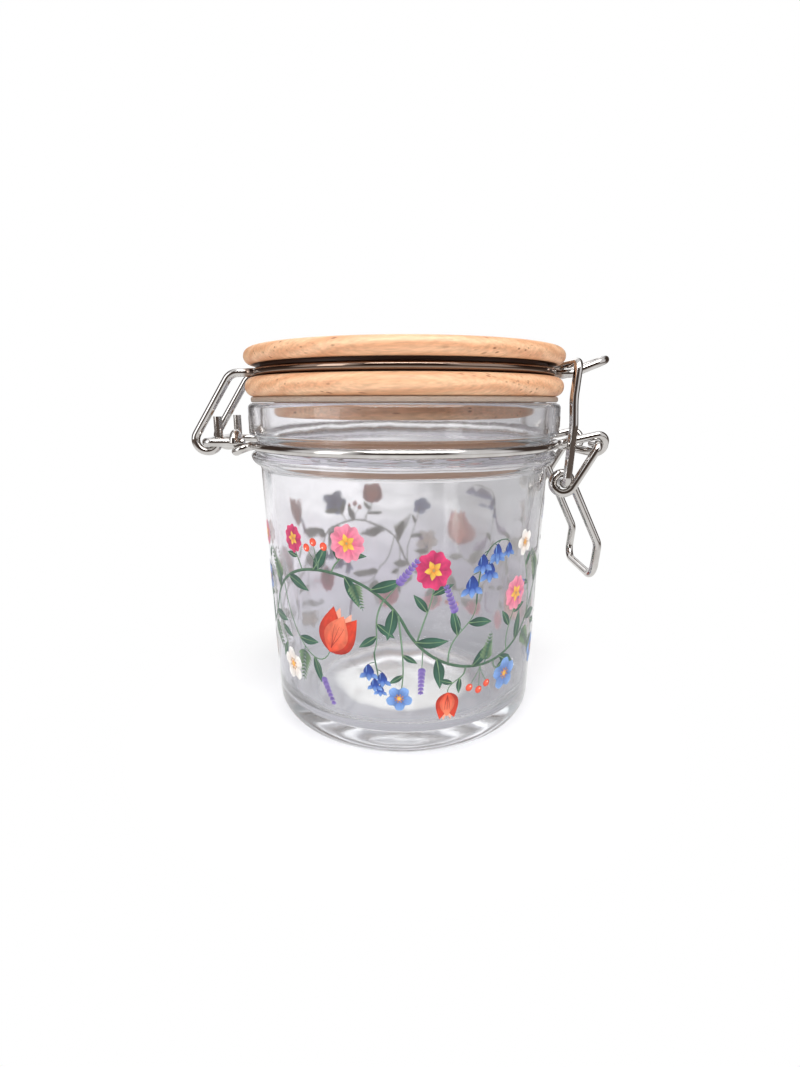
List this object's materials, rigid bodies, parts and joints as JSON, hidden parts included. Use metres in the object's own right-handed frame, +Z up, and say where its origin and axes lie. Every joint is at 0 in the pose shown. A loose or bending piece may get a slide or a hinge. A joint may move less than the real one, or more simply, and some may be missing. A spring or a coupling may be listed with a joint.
{
  "type": "clip-top storage jar",
  "caption": "Tapered clear glass storage jar with a turned wooden lid on a wire hinge, a silicone seal and an over-centre wire latch.",
  "frame": {"origin": "on the jar's axis, on the surface that the jar stands on", "axes": "+Z up along the jar's axis, +X towards the latch, -X towards the hinge"},
  "size_m": [0.132, 0.1, 0.1185],
  "materials": {
    "glass": "clear pressed glass",
    "wire": "bright drawn steel wire",
    "beech": "turned and lightly oiled beech",
    "silicone": "translucent white silicone"
  },
  "bodies": {
    "jar": {"glass_jar": "glass", "neck_wire": "wire"},
    "lid": {"wooden_lid": "beech", "seal": "silicone", "lid_wire": "wire"},
    "lever": {"latch_lever": "wire"},
    "bail": {"latch_bail": "wire"}
  },
  "joints": [
    {"name": "lid_hinge", "type": "hinge", "parent": "jar", "child": "lid", "pos_m": [-0.0615, 0, 0.0906], "axis": [0, -1, 0], "range_deg": [0, 200]},
    {"name": "lever_pivot", "type": "hinge", "parent": "jar", "child": "lever", "pos_m": [0.0594, 0, 0.09], "axis": [0, -1, 0], "range_deg": [0, 150]},
    {"name": "bail_pivot", "type": "hinge", "parent": "lever", "child": "bail", "pos_m": [0.0492, 0, 0.0782], "axis": [0, -1, 0], "range_deg": [-340, 0]}
  ],
  "couplings": [
    {"joint": "bail_pivot", "follows": "lever_pivot", "ratio": -2.25}
  ]
}
